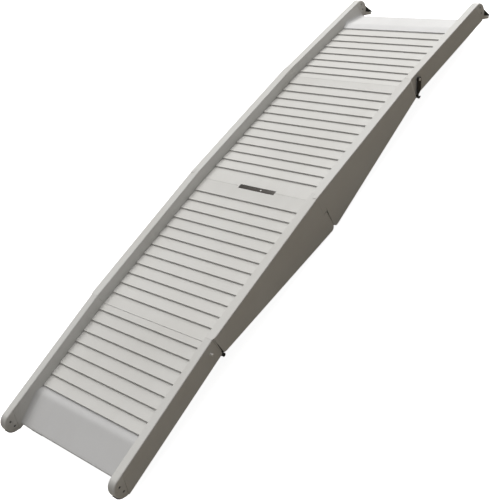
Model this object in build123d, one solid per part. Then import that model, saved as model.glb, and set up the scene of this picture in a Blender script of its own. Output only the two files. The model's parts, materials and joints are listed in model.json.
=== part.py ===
"""Folding dog ramp: four moulded sections joined by three bottom hinges, with a side latch.

The ramp lies unfolded on its feet.  X runs across it, Y along it towards the upper end, Z is up, and the origin
is the centre of the bounding box's base.  Every section is drawn level in its own frame, with its deck's middle
plane at z = 0, and is then set at its own camber angle.
"""
from build123d import *
from math import cos, hypot, radians, sin, tan
import os

# ---- driving dimensions, mm and degrees ----
MID_LENGTH = 413.0  # centre joint to outer joint
END_LENGTH = 333.0  # outer joint to the centre of the round rail end
END_RADIUS = 25.1  # round rail end, half the rail's depth
CAMBER_CENTRE = 3.1  # rise taken up by the centre joint
CAMBER_OUTER = 3.45  # rise taken up by each outer joint
SEAM = 0.3  # open line between two sections

RAIL_IN = 180.0  # half width between the rails
MID_OUT = 204.4  # half width over a middle section's rails
END_OUT = 201.2  # half width over an end section's rails, which nest inside the skirts
RAIL_TOP = 28.2
RAIL_FOOT = -22.0
MID_FOOT = -22.5
WALL = 3.0
SKIRT = 2.6  # skirt wall of a middle section
SKIRT_DEEP = -78.4  # skirt's lowest line at the centre joint
SKIRT_ROUND = 11.0
SKIRT_SHORT = 2.4  # skirt wall stopping short of an outer joint, at its top
SKIRT_LEAN = 2.5  # and leaning back by this much at the rail's foot
SKIRT_TAPER = (8.0, 2.0)  # the skirt thins towards that end: length and depth
LAP_CENTRE = 12.0  # stepped rail seam at the centre joint
LAP_SPLIT = 192.0  # where the stepped seam changes sides
EDGE_ROUND = 2.5

END_CENTRE_Z = (RAIL_TOP + RAIL_FOOT) / 2
CAP_SEAM_TOP = 317.0  # the cap's seam leans across the rail
CAP_SEAM_FOOT = 338.5
CAP_GAP = 0.15
CAP_SCREWS = {-1: ((339.5, 12.6), (340.0, -4.4)), 1: ((340.5, 14.6), (341.2, -1.1))}
CAP_SCREW_R = 2.6

PITCH = 30.67  # tread to tread
RISER = 3.0  # height of each step
DECK_FOOT = -4.5  # underside of the decks
PLATE = 3.0
LOWER_END_LINES = [-232.5 + PITCH * k for k in range(8)]
LOWER_MID_LINES = [-378.5 + PITCH * k for k in range(12)]
UPPER_MID_LINES = [46.2 + PITCH * k for k in range(12)]
UPPER_END_LINES = [22.7 + PITCH * k for k in range(8)]
# Smooth end plates, by way: height at the start, bend and edge from the outer joint, and fall past the bend.
PLATE_SHAPE = {-1: (-RISER / 2, 250.0, 327.0, 0.245), 1: (RISER / 2, 262.0, 329.0, 0.26)}
SLOT_HALF = 57.5
SLOT_WIDE = 6.6
FOOT_AT = (312.0, 326.0)  # rubber feet, from the outer joint
FOOT_X = (130.0, 168.0)

OUTER_PIN_Z = -25.0
OUTER_PIN_R = 2.5
OUTER_KNUCKLE_R = 5.2
CENTRE_PIN_Z = -78.8
CENTRE_PIN_R = 2.2
CENTRE_KNUCKLE_R = 4.0
RUNNING = 0.06  # radial clearance of a pin in a moving knuckle
FRAME_NEAR = 10.0  # hinge frame's face nearest the centre joint
FRAME_THICK = 4.0

LATCH_AT = (21.8, 10.8)  # pivot on the upper end section, from the outer joint
PEG_AT = (-21.7, 7.6)  # catch peg on the lower end section
LATCH_HANG = 28.5  # hanging direction from the section's own down, towards the centre
# Pivot to the hook's seat is the gap between pivot and peg when all four sections are folded together.
LATCH_REACH = hypot(LATCH_AT[0] + PEG_AT[0], 2 * CENTRE_PIN_Z - 4 * OUTER_PIN_Z + LATCH_AT[1] + PEG_AT[1])
LATCH_HALF = 7.2
HOOK_SEAT_R = 3.0
HOOK_OUT_R = 7.4
STRAP_X = (204.7, 206.9)

# ---- the four sections' frames ----
HEAD_MID = CAMBER_CENTRE / 2
HEAD_END = HEAD_MID + CAMBER_OUTER
JOINT_Y = MID_LENGTH * cos(radians(HEAD_MID))
JOINT_Z = -MID_LENGTH * sin(radians(HEAD_MID))
FRAMES = {
    "lower_end": Location((0, -JOINT_Y, JOINT_Z), (HEAD_END, 0, 0)),
    "lower_joint": Location((0, -JOINT_Y, JOINT_Z), ((HEAD_END + HEAD_MID) / 2, 0, 0)),
    "lower_mid": Location((0, 0, 0), (HEAD_MID, 0, 0)),
    "centre": Location((0, 0, 0)),
    "upper_mid": Location((0, 0, 0), (-HEAD_MID, 0, 0)),
    "upper_joint": Location((0, JOINT_Y, JOINT_Z), (-(HEAD_END + HEAD_MID) / 2, 0, 0)),
    "upper_end": Location((0, JOINT_Y, JOINT_Z), (-HEAD_END, 0, 0)),
}
FLOOR = CENTRE_PIN_Z - CENTRE_KNUCKLE_R  # the centre knuckles stand on the floor
parts = {}


def keep(name, frame, shape):
    """Set one finished sub-part in its section's frame."""
    parts[name] = shape.moved(FRAMES[frame])


def block(x0, x1, y0, y1, z0, z1):
    """Box between two corners, given in any order."""
    xs, ys, zs = sorted((x0, x1)), sorted((y0, y1)), sorted((z0, z1))
    size = (xs[1] - xs[0], ys[1] - ys[0], zs[1] - zs[0])
    return Pos(sum(xs) / 2, sum(ys) / 2, sum(zs) / 2) * Box(*size)


def rod(x0, x1, y, z, r):
    """Round bar along X."""
    return Pos((x0 + x1) / 2, y, z) * Rot(0, 90, 0) * Cylinder(r, abs(x1 - x0))


def prism(points, x0, x1):
    """Side outline in Y and Z, extruded across X."""
    face = make_face(Plane.YZ * Polyline(*points, close=True))
    return Pos(min(x0, x1), 0, 0) * extrude(face, abs(x1 - x0), dir=(1, 0, 0))


def soften(shape, top_z):
    """Round the long edges of a rail's top."""
    edges = [e for e in shape.edges().filter_by(Axis.Y) if abs(e.center().Z - top_z) < 0.01]
    return fillet(edges, EDGE_ROUND)


def round_drop(t):
    """Height of the round rail end below its centre, at t from the outer joint."""
    return (END_RADIUS ** 2 - (t - END_LENGTH) ** 2) ** 0.5


# ---- rails ----
def end_rail(side, way):
    """Channel rail of an end section, open below, from its cap to the outer joint."""
    top, foot = RAIL_TOP, RAIL_FOOT
    near_top = way * SEAM / 2 - way * top * tan(radians(CAMBER_OUTER / 2))
    near_foot = way * SEAM / 2 - way * foot * tan(radians(CAMBER_OUTER / 2))
    outline = [(near_top, top), (way * CAP_SEAM_TOP, top),
               (way * CAP_SEAM_FOOT, END_CENTRE_Z - round_drop(CAP_SEAM_FOOT)), (way * END_LENGTH, foot),
               (near_foot, foot)]
    rail = prism(outline, side * RAIL_IN, side * END_OUT)
    rail = soften(rail, top)
    rail -= block(side * (RAIL_IN + WALL), side * (END_OUT - WALL), -400, 400, foot - 1, top - WALL)
    # closed web at the joint, relieved below for the hinge
    rail += prism([(near_top, top - WALL), (near_top + way * WALL, top - WALL), (near_top + way * WALL, -16),
                   (near_top + way * 0.9, -16)],
                  side * (RAIL_IN + WALL), side * (END_OUT - WALL))
    ledge = block(side * (RAIL_IN - 6), side * RAIL_IN, way * 2, way * 232, DECK_FOOT - WALL, DECK_FOOT)
    return rail + ledge


def mid_rail(side, way):
    """Channel rail of a middle section with its deepening outer skirt."""
    top, foot = RAIL_TOP, MID_FOOT
    slope_c, slope_o = tan(radians(CAMBER_CENTRE / 2)), tan(radians(CAMBER_OUTER / 2))
    near_top, near_foot = way * (SEAM / 2 - top * slope_c), way * (SEAM / 2 - foot * slope_c)
    far_top, far_foot = way * (MID_LENGTH - SEAM / 2 + top * slope_o), way * (MID_LENGTH - SEAM / 2 + foot * slope_o)
    outline = [(near_top, top), (far_top, top), (far_foot, foot), (near_foot, foot)]
    rail = prism(outline, side * RAIL_IN, side * (MID_OUT - SKIRT))
    skirt_top = way * (MID_LENGTH - SKIRT_SHORT)
    skirt_foot = way * (MID_LENGTH - SKIRT_SHORT - SKIRT_LEAN)
    deep_near = way * (SEAM / 2 - SKIRT_DEEP * slope_c)
    skirt = prism([(near_top, top), (skirt_top, top), (skirt_foot, foot), (deep_near, SKIRT_DEEP), (deep_near, foot)],
                  side * (MID_OUT - SKIRT), side * MID_OUT)
    corner = [e for e in skirt.edges().filter_by(Axis.X) if e.center().Z < SKIRT_DEEP + 1]
    skirt = fillet(corner, SKIRT_ROUND)
    thin_from, thin_to = way * (MID_LENGTH - SKIRT_SHORT - SKIRT_TAPER[0]), way * (MID_LENGTH - SKIRT_SHORT)
    thin = [(MID_OUT, thin_from), (MID_OUT - SKIRT_TAPER[1], thin_to), (MID_OUT - SKIRT_TAPER[1], thin_to + way),
            (MID_OUT + 1, thin_to + way), (MID_OUT + 1, thin_from)]
    wedge = extrude(make_face(Polyline(*[(side * x, y) for x, y in thin], close=True)), 60, both=True)
    body = rail + skirt
    body = soften_long(body, side, top) - wedge
    body -= block(side * (RAIL_IN + WALL), side * (MID_OUT - SKIRT), -430, 430, foot - 1, top - WALL)
    for y_top, lean in ((near_top, way), (far_top, -way)):
        body += prism([(y_top, top - WALL), (y_top + lean * WALL, top - WALL), (y_top + lean * WALL, -14),
                       (y_top + lean * 1.5, -14)], side * (RAIL_IN + WALL), side * (MID_OUT - SKIRT))
    ledge = block(side * (RAIL_IN - 6), side * RAIL_IN, way * 4, way * (MID_LENGTH - 4),
                  DECK_FOOT - WALL, DECK_FOOT)
    body += ledge
    shut_top, shut_foot = near_top - LAP_CENTRE, near_foot - LAP_CENTRE
    if way < 0:  # the lower rail's outer half stops short at the centre
        shut_over = shut_top + slope_c
        body -= prism([(shut_over, top + 1), (5, top + 1), (5, foot), (shut_foot, foot)],
                      side * LAP_SPLIT, side * (MID_OUT + 1))
        body += block(side * (LAP_SPLIT - 1), side * (MID_OUT - SKIRT + 1), shut_foot - 4, shut_foot - 1,
                      -14, top - WALL + 1)
    else:  # and the upper rail's outer half laps over it
        lap_foot = foot + 1.0
        lap = prism([(shut_top, top), (near_top + 0.5, top), (near_foot + 0.5, lap_foot), (shut_foot, lap_foot)],
                    side * (LAP_SPLIT + 0.4), side * MID_OUT)
        lap = soften_outer(lap, side, top)
        lap -= block(side * (LAP_SPLIT + 0.4 + WALL), side * (MID_OUT - SKIRT),
                     shut_foot + WALL, 5, foot, top - WALL)
        body += lap
    return body


def soften_long(shape, side, top_z):
    """Round a middle rail's inner and outer top edges."""
    edges = [e for e in shape.edges().filter_by(Axis.Y)
             if abs(e.center().Z - top_z) < 0.01
             and (abs(abs(e.center().X) - RAIL_IN) < 0.01 or abs(abs(e.center().X) - MID_OUT) < 0.01)]
    return fillet(edges, EDGE_ROUND)


def soften_outer(shape, side, top_z):
    """Round the outer top edge of the stepped lap."""
    edges = [e for e in shape.edges().filter_by(Axis.Y)
             if abs(e.center().Z - top_z) < 0.01 and abs(abs(e.center().X) - MID_OUT) < 0.01]
    return fillet(edges, EDGE_ROUND - 0.1)


def cap_outline(way):
    """Side face of a rail's end cap: the leaning seam, then a half round end."""
    seam_top = (way * (CAP_SEAM_TOP + CAP_GAP), RAIL_TOP)
    seam_foot = (way * (CAP_SEAM_FOOT + CAP_GAP), END_CENTRE_Z - round_drop(CAP_SEAM_FOOT + CAP_GAP))
    round_top = (way * END_LENGTH, RAIL_TOP)
    tip = (way * (END_LENGTH + END_RADIUS), END_CENTRE_Z)
    wire = [Line(seam_foot, seam_top), Line(seam_top, round_top), ThreePointArc(round_top, tip, seam_foot)]
    return make_face(Plane.YZ * Wire(wire))


def end_cap(side, way):
    """Moulded cap that closes an end section's rail, with its plug and two screw holes."""
    face = cap_outline(way)
    x0 = min(side * RAIL_IN, side * END_OUT)
    cap = Pos(x0, 0, 0) * extrude(face, END_OUT - RAIL_IN, dir=(1, 0, 0))
    plug = block(side * (RAIL_IN + WALL + 0.2), side * (END_OUT - WALL - 0.2),
                 way * 306, way * 325, -10, RAIL_TOP - WALL - 0.2)
    cap += plug
    for y, z in CAP_SCREWS[way]:
        cap -= rod(side * (RAIL_IN - 1), side * (END_OUT + 1), way * y, z, CAP_SCREW_R)
    return cap


def cap_screws(way):
    """The four cap screws of one end, sunk just under both faces of the rails."""
    group = []
    for side in (-1, 1):
        for y, z in CAP_SCREWS[way]:
            shank = rod(side * (RAIL_IN + 0.8), side * (END_OUT - 0.8), way * y, z, CAP_SCREW_R - 0.02)
            group.append(shank)
    return Compound(group)


def bumper(side):
    """Rubber strip round the lower front quarter of a lower cap."""
    centre_y, centre_z = -END_LENGTH, (RAIL_TOP + RAIL_FOOT) / 2
    ring = rod(side * 184, side * 198, centre_y, centre_z, END_RADIUS + 2.2)
    ring -= rod(side * 183, side * 199, centre_y, centre_z, END_RADIUS + 0.1)
    quarter = block(side * 183, side * 199, centre_y - 40, centre_y + 4, centre_z - 40, centre_z - 4)
    return ring & quarter


# ---- decks and smooth end plates ----
def slope_at(y, lines, before, after):
    """Height of the sawtooth deck at y; before and after are the neighbouring sections' risers."""
    marks = [before] + lines + [after]
    for low, high in zip(marks, marks[1:]):
        if low <= y <= high:
            run = max(high - low, PITCH)
            return RISER / 2 - RISER * (y - low) / run
    return 0.0


def deck(y0, y1, lines, before, after):
    """Stepped deck panel: every tread falls towards the upper end and ends at the next riser."""
    points = [(y0, DECK_FOOT), (y0, slope_at(y0, lines, before, after))]
    for line in lines:
        points.append((line, -RISER / 2))
        points.append((line, RISER / 2))
    points.append((y1, slope_at(y1, lines, before, after)))
    points.append((y1, DECK_FOOT))
    return prism(points, -(RAIL_IN - 0.2), RAIL_IN - 0.2)


def plate_under(way, t):
    """Height of an end plate's underside, at t from the outer joint."""
    top, bend, _, fall = PLATE_SHAPE[way]
    return top - PLATE - max(0, t - bend) * fall


def end_plate(way, start):
    """Smooth plate beyond the last riser, bent down towards the edge; the upper one starts with a riser."""
    top, bend, end, fall = PLATE_SHAPE[way]
    low = top - (end - bend) * fall
    outline = [(start, top), (bend, top), (end - 2, low + 0.5), (end, low - 1.2)]
    outline += [(t, plate_under(way, t)) for t in (end - 1, bend)]
    if way > 0:
        outline += [(start + PLATE, top - PLATE), (start + PLATE, DECK_FOOT)]
    outline.append((start, DECK_FOOT))
    return prism([(way * t, z) for t, z in outline], -(RAIL_IN - 0.2), RAIL_IN - 0.2)


def floor_height(frame, y):
    """Height z in a section's frame at which its point y meets the floor."""
    at = FRAMES[frame]
    lean = radians(at.orientation.X)
    return (FLOOR - at.position.Z - y * sin(lean)) / cos(lean)


def foot(side, way, frame):
    """Rubber foot under an end plate, cut level with the floor."""
    near, far = way * FOOT_AT[0], way * FOOT_AT[1]
    outline = [(near, plate_under(way, FOOT_AT[0])), (far, plate_under(way, FOOT_AT[1])),
               (far, floor_height(frame, far)), (near, floor_height(frame, near))]
    return prism(outline, side * FOOT_X[0], side * FOOT_X[1])


def ribs(way, marks, length0, length1):
    """Ladder of stiffening ribs under a deck."""
    grid = block(-62, -59, way * length0, way * length1, -20, DECK_FOOT)
    grid += block(59, 62, way * length0, way * length1, -20, DECK_FOOT)
    for mark in marks:
        grid += block(-(RAIL_IN - 6.2), RAIL_IN - 6.2, way * mark, way * (mark + WALL), -20, DECK_FOOT - WALL - 0.2)
        grid += block(-120, 120, way * mark, way * (mark + WALL), -20, DECK_FOOT)
    return grid


# ---- hinges ----
def outer_tongue(side, way):
    """Black hinge tongue screwed inside an end rail's channel."""
    x0, x1 = side * 188.2, side * 194.0
    tongue = rod(x0, x1, 0, OUTER_PIN_Z, OUTER_KNUCKLE_R)
    tongue += prism([(way * 1.5, OUTER_PIN_Z + OUTER_KNUCKLE_R - 0.4), (way * 10, -12), (way * 24, -12),
                     (way * 24, -21), (way * 4, OUTER_PIN_Z - 2.6), (0, OUTER_PIN_Z)], x0, x1)
    tongue += block(side * (RAIL_IN + WALL), side * (END_OUT - WALL), way * 10, way * 24, -21, -12)
    return tongue - rod(side * 180, side * 200, 0, OUTER_PIN_Z, OUTER_PIN_R + RUNNING)


def outer_ears(side, way):
    """Black hinge fork screwed inside a middle rail's channel."""
    fork = block(side * (RAIL_IN + WALL), side * (MID_OUT - SKIRT), -way * 10, -way * 24, -21, -12)
    for x0, x1 in ((183.4, 187.9), (194.3, 197.9)):
        fork += rod(side * x0, side * x1, 0, OUTER_PIN_Z, OUTER_KNUCKLE_R)
        fork += prism([(-way * 1.5, OUTER_PIN_Z + OUTER_KNUCKLE_R - 0.4), (-way * 10, -12), (-way * 12, -21),
                       (-way * 4, OUTER_PIN_Z - 2.6), (0, OUTER_PIN_Z)], side * x0, side * x1)
    return fork - rod(side * 180, side * 200, 0, OUTER_PIN_Z, OUTER_PIN_R)


def outer_pin(side):
    """Steel pin of an outer hinge, held in the fork."""
    return rod(side * 183.4, side * 197.9, 0, OUTER_PIN_Z, OUTER_PIN_R)


CENTRE_LOWER_KNUCKLES = ((150, 170), (14, 34))
CENTRE_UPPER_KNUCKLES = ((170.4, 190), (34.4, 54))


def hinge_frame(way, knuckles, bore, hand_hole):
    """Cross wall below the deck at the centre joint, with its row of hinge knuckles."""
    near, far = way * FRAME_NEAR, way * (FRAME_NEAR + FRAME_THICK)
    wall = block(-(RAIL_IN - 6.2), RAIL_IN - 6.2, near, far, -72, DECK_FOOT - 0.6)
    wall += block(-(MID_OUT - SKIRT), MID_OUT - SKIRT, near, far, -72, MID_FOOT - 0.5)
    if hand_hole:
        wall -= block(-50, 50, near - way, far + way, -48, -14)
    else:
        for x in (-125, 75):
            wall -= block(x, x + 50, near - way, far + way, -56, -22)
    flange = block(-(MID_OUT - SKIRT), MID_OUT - SKIRT, near, way * (FRAME_NEAR + 12), -72, -69)
    wall += flange
    for side in (-1, 1):
        for x0, x1 in knuckles:
            a, b = side * x0, side * x1
            wall += rod(a, b, 0, CENTRE_PIN_Z, CENTRE_KNUCKLE_R)
            wall += prism([(0, CENTRE_PIN_Z + CENTRE_KNUCKLE_R - 0.2), (near, -69), (way * 18, -69),
                           (way * 18, -72), (way * 3.5, CENTRE_PIN_Z - 2.9), (0, CENTRE_PIN_Z)], a, b)
    return wall - rod(-210, 210, 0, CENTRE_PIN_Z, bore)


# ---- latch and catch ----
def latch_strap():
    """Flat hook that hangs from the upper end section's right rail."""
    x0, x1 = STRAP_X
    half = LATCH_HALF
    seat = -LATCH_REACH
    flat = rod(x0, x1, 0, 0, half)
    flat += block(x0, x1, -half, half, -22, 0)
    flat += prism([(-half, -21), (half, -21), (half, -23), (4.0, -29.6), (1.4, -32.6), (-2.0, seat + 2.3),
                   (-HOOK_SEAT_R, seat), (-HOOK_OUT_R, seat), (-HOOK_OUT_R, seat + 4), (-half, seat + 6)], x0, x1)
    flat += rod(x0, x1, 0, seat, HOOK_OUT_R) & block(x0, x1, -HOOK_OUT_R - 1, HOOK_OUT_R + 1, seat - 2.0, seat - 20)
    flat += rod(x0, x1, 0, seat, HOOK_OUT_R) & block(x0, x1, -HOOK_OUT_R - 1, 0, seat + 0.4, seat - 20)
    flat -= rod(x0 - 1, x1 + 1, 0, seat, HOOK_SEAT_R)
    flat -= rod(x0 - 1, x1 + 1, 0, 0, 3.06)
    return flat


def grip_arm_outline(way):
    """Side outline of the beak under the grip pad, in section coordinates."""
    return [(way * t, z) for t, z in ((340, -18), (350.9, -14.2), (352.2, -15.0), (378.5, -33.9), (373.6, -37.4),
                                      (344, -23.4), (337, -21.3))]


def grip_pad(side):
    """Black wedge between the cap's round and the beak's far edge."""
    wedge = prism([(351.0, -14.0), (345, 0), (358.0, 1.0), (380.5, -31.8), (378.9, -33.5)], side * 183, side * 198.4)
    return wedge - rod(side * 182, side * 200, END_LENGTH, END_CENTRE_Z, END_RADIUS + 0.1)


def build():
    """Make every sub-part."""
    for side, name in ((-1, "left"), (1, "right")):
        keep(f"lower_rail_{name}", "lower_end", end_rail(side, -1))
        keep(f"lower_mid_rail_{name}", "lower_mid", mid_rail(side, -1))
        keep(f"upper_mid_rail_{name}", "upper_mid", mid_rail(side, 1))
        keep(f"upper_rail_{name}", "upper_end", end_rail(side, 1))
        keep(f"ground_cap_{name}", "lower_end", end_cap(side, -1))
        keep(f"ground_bumper_{name}", "lower_end", bumper(side))
        keep(f"ground_foot_{name}", "lower_end", foot(side, -1, "lower_end"))
        keep(f"rest_foot_{name}", "upper_end", foot(side, 1, "upper_end"))
        cap = end_cap(side, 1)
        arm = prism(grip_arm_outline(1), side * 184, side * 197.4)
        keep(f"grip_cap_{name}", "upper_end", cap + arm)
        keep(f"grip_pad_{name}", "upper_end", grip_pad(side))
        keep(f"lower_hinge_tongue_{name}", "lower_joint", outer_tongue(side, -1))
        keep(f"lower_hinge_fork_{name}", "lower_joint", outer_ears(side, -1))
        keep(f"lower_hinge_pin_{name}", "lower_joint", outer_pin(side))
        keep(f"upper_hinge_tongue_{name}", "upper_joint", outer_tongue(side, 1))
        keep(f"upper_hinge_fork_{name}", "upper_joint", outer_ears(side, 1))
        keep(f"upper_hinge_pin_{name}", "upper_joint", outer_pin(side))

    keep("ground_cap_screws", "lower_end", cap_screws(-1))
    keep("grip_cap_screws", "upper_end", cap_screws(1))

    half = SEAM / 2
    after_lower = LOWER_MID_LINES[0] + MID_LENGTH
    before_mid = LOWER_END_LINES[-1] - MID_LENGTH
    keep("lower_deck", "lower_end",
         deck(LOWER_END_LINES[0], -half, LOWER_END_LINES[1:], LOWER_END_LINES[0], after_lower))
    slot = block(-SLOT_HALF, SLOT_HALF, -SLOT_WIDE, SLOT_WIDE, -20, 20)
    keep("lower_mid_deck", "lower_mid",
         deck(-MID_LENGTH + half, -half, LOWER_MID_LINES, before_mid, UPPER_MID_LINES[0]) - slot)
    after_upper = UPPER_END_LINES[0] + MID_LENGTH
    keep("upper_mid_deck", "upper_mid",
         deck(half, MID_LENGTH - half, UPPER_MID_LINES, LOWER_MID_LINES[-1], after_upper) - slot)
    keep("upper_deck", "upper_end",
         deck(half, UPPER_END_LINES[-1], UPPER_END_LINES[:-1], UPPER_MID_LINES[-1] - MID_LENGTH,
              UPPER_END_LINES[-1]))
    keep("ground_plate", "lower_end", end_plate(-1, -LOWER_END_LINES[0] + 0.2))
    keep("top_plate", "upper_end", end_plate(1, UPPER_END_LINES[-1] + 0.2))

    keep("lower_ribs", "lower_end", ribs(-1, (30, 100, 170, 225), 30, 228))
    keep("lower_mid_ribs", "lower_mid", ribs(-1, (40, 150, 230, 310, 385), 40, 388))
    keep("upper_mid_ribs", "upper_mid", ribs(1, (40, 150, 230, 310, 385), 40, 388))
    keep("upper_ribs", "upper_end", ribs(1, (30, 100, 170, 225), 30, 228))

    keep("lower_hinge_frame", "centre", hinge_frame(-1, CENTRE_LOWER_KNUCKLES, CENTRE_PIN_R, False))
    keep("upper_hinge_frame", "centre", hinge_frame(1, CENTRE_UPPER_KNUCKLES, CENTRE_PIN_R + RUNNING, True))
    keep("centre_hinge_rod", "centre", rod(-198, 198, 0, CENTRE_PIN_Z, CENTRE_PIN_R))

    bar = block(-56.8, 56.8, -6.0, 6.0, -6.4, -1.2)
    for x in (-40, 40):
        bar += block(x - 8, x + 8, 0, 10, -8.0, -4.8)
    keep("carry_bar", "upper_mid", bar)
    stud = Pos(12.6, 0, -0.8) * Cylinder(2.6, 0.8)
    keep("carry_bar_stud", "upper_mid", stud)

    hang = Location((0, LATCH_AT[0], LATCH_AT[1]), (-LATCH_HANG, 0, 0))
    keep("latch_hook", "upper_end", latch_strap().moved(hang))
    spacer = rod(END_OUT, STRAP_X[0] - 0.2, *LATCH_AT, 5.5) - rod(END_OUT - 1, STRAP_X[0], *LATCH_AT, 3.0)
    keep("latch_spacer", "upper_end", spacer)
    screw = rod(END_OUT, STRAP_X[1] + 0.3, *LATCH_AT, 3.0)
    screw += rod(STRAP_X[1] + 0.2, STRAP_X[1] + 1.1, *LATCH_AT, 3.8)
    keep("latch_screw", "upper_end", screw)
    peg = rod(END_OUT, 207.3, *PEG_AT, 2.1) + rod(207.2, 208.4, *PEG_AT, 2.9)
    keep("catch_peg", "lower_end", peg)


build()
box = Compound(list(parts.values())).bounding_box()
home = Pos(-(box.min.X + box.max.X) / 2, -(box.min.Y + box.max.Y) / 2, -FLOOR)
os.makedirs("parts", exist_ok=True)
for name, shape in parts.items():
    export_step(shape.moved(home), f"parts/{name}.step")
print("shift to the origin", home.position, "lowest", box.min.Z, FLOOR)
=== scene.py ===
import json
from math import cos, pi, radians, sin

import bmesh
import bpy
from mathutils import Matrix, Vector


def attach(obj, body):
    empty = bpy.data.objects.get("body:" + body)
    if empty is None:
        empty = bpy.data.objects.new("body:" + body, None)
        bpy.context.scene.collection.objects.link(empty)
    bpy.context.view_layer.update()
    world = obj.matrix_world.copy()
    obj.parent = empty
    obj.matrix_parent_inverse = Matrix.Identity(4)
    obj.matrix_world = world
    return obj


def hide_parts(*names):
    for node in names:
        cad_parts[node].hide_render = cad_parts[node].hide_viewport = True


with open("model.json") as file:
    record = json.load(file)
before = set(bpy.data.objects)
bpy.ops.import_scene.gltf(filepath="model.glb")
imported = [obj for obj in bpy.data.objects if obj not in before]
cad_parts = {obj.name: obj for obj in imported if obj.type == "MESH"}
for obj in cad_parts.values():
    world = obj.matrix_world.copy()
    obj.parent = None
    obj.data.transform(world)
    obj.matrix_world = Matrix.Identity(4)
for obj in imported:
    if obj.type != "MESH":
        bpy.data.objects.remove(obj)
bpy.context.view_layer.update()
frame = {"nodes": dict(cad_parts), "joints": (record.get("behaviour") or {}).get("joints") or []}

# ---- Stepped decks ----
# Four moulded plastic panels, one to a section, whose treads fall a little towards the grip end and step
# up at a rounded, undercut nose.  Each deck is one thin panel that rests on ledges inside the side rails.
MM = 0.001
MID_LENGTH = 413 * MM  # from the crest to an outer joint
MID_LEAN = radians(1.55)  # fall of a middle section from the crest
END_LEAN = radians(5.0)  # further fall of an end section
CREST_HEIGHT = 78.8 * MM  # of the decks over the centre hinge's rod
PITCH = 30.67 * MM  # from one riser to the next
DECK_FOOT = -4.5 * MM
DECK_HALF = 179.8 * MM
SEAM_HALF = 0.15 * MM
SEAM_EDGE = 0.12 * MM
hinge_at = {joint["name"]: Vector(joint["pos_m"]) for joint in frame["joints"]}
crest = hinge_at["centre_fold"] + Vector((0, 0, CREST_HEIGHT))


def section_frame(way, end):
    """Frame of a section: way is -1 in the lower half and 1 in the upper; end is true for an end section."""
    middle = Matrix.Translation(crest) @ Matrix.Rotation(-way * MID_LEAN, 4, "X")
    if not end:
        return middle
    joint = middle @ Vector((0, way * MID_LENGTH, 0))
    return Matrix.Translation(joint) @ Matrix.Rotation(-way * END_LEAN, 4, "X")


BODY = {(-1, True): "lower_section", (-1, False): "lower_mid_section",
        (1, False): "upper_mid_section", (1, True): "upper_section"}


def grow(material, kind, **settings):
    """Add one node to a material and set its plain inputs, named with underscores."""
    made = material.node_tree.nodes.new(kind)
    for key, value in settings.items():
        made.inputs[key.replace("_", " ")].default_value = value
    return made


def wire(material, source, target):
    """Join two sockets of a material."""
    material.node_tree.links.new(source, target)


def speckle(material, scale, stretch=(1, 1, 1), detail=3.0):
    """Noise in the piece's own coordinates, scale features to a metre, drawn out where stretch is small."""
    coords = grow(material, "ShaderNodeTexCoord")
    place = grow(material, "ShaderNodeMapping", Scale=stretch)
    noise = grow(material, "ShaderNodeTexNoise", Scale=scale, Detail=detail)
    wire(material, coords.outputs["Object"], place.inputs["Vector"])
    wire(material, place.outputs["Vector"], noise.inputs["Vector"])
    return noise.outputs["Fac"]


def ramp(material, source, low, high, start, end):
    """Map a value's range low to high onto start to end."""
    span = grow(material, "ShaderNodeMapRange", From_Min=low, From_Max=high, To_Min=start, To_Max=end)
    wire(material, source, span.inputs["Value"])
    return span.outputs["Result"]


def stain(material, share, under, over):
    """Lay colour over on under, by share; under is a colour or a socket."""
    mix = material.node_tree.nodes.new("ShaderNodeMix")
    mix.data_type = "RGBA"
    wire(material, share, mix.inputs[0])
    if isinstance(under, tuple):
        mix.inputs[6].default_value = (*under, 1)
    else:
        wire(material, under, mix.inputs[6])
    mix.inputs[7].default_value = (*over, 1)
    return mix.outputs[2]


def relief(material, height, depth, below=None):
    """Bump of the given depth in metres, on top of another bump."""
    bump = grow(material, "ShaderNodeBump", Strength=1.0, Distance=depth)
    wire(material, height, bump.inputs["Height"])
    if below is not None:
        wire(material, below, bump.inputs["Normal"])
    return bump.outputs["Normal"]


def moulded_plastic(name, colour, soil, soil_share, rough):
    """Textured plastic: fine spark grain, long scuffs, and soil that lies in clouds and smears."""
    material = bpy.data.materials.new(name)
    material.use_nodes = True
    body = material.node_tree.nodes["Principled BSDF"]
    body.inputs["Specular IOR Level"].default_value = 0.22
    clouds = ramp(material, speckle(material, 7, detail=5), 0.42, 0.74, 0, soil_share)
    smears = ramp(material, speckle(material, 30, (1, 0.2, 1), 4), 0.5, 0.8, 0, soil_share * 0.7)
    dust = ramp(material, speckle(material, 700, detail=2), 0.3, 0.7, 0, 0.06)
    toned = stain(material, smears, stain(material, clouds, colour, soil), soil)
    wire(material, stain(material, dust, toned, tuple(0.55 * c for c in colour)), body.inputs["Base Color"])
    wire(material, ramp(material, speckle(material, 45, (1, 0.3, 1)), 0.3, 0.7, rough - 0.07, rough + 0.1),
         body.inputs["Roughness"])
    grain = relief(material, speckle(material, 1500, detail=2), 0.00006)
    scuffs = ramp(material, speckle(material, 900, (1, 0.02, 1), 2), 0.62, 0.72, 0, 1)
    waves = relief(material, speckle(material, 14, detail=1), 0.0006, grain)
    wire(material, relief(material, scuffs, 0.00002, waves), body.inputs["Normal"])
    return material


tread_plastic = moulded_plastic("tread plastic", (0.65, 0.645, 0.625), (0.42, 0.395, 0.35), 0.10, 0.55)

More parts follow.
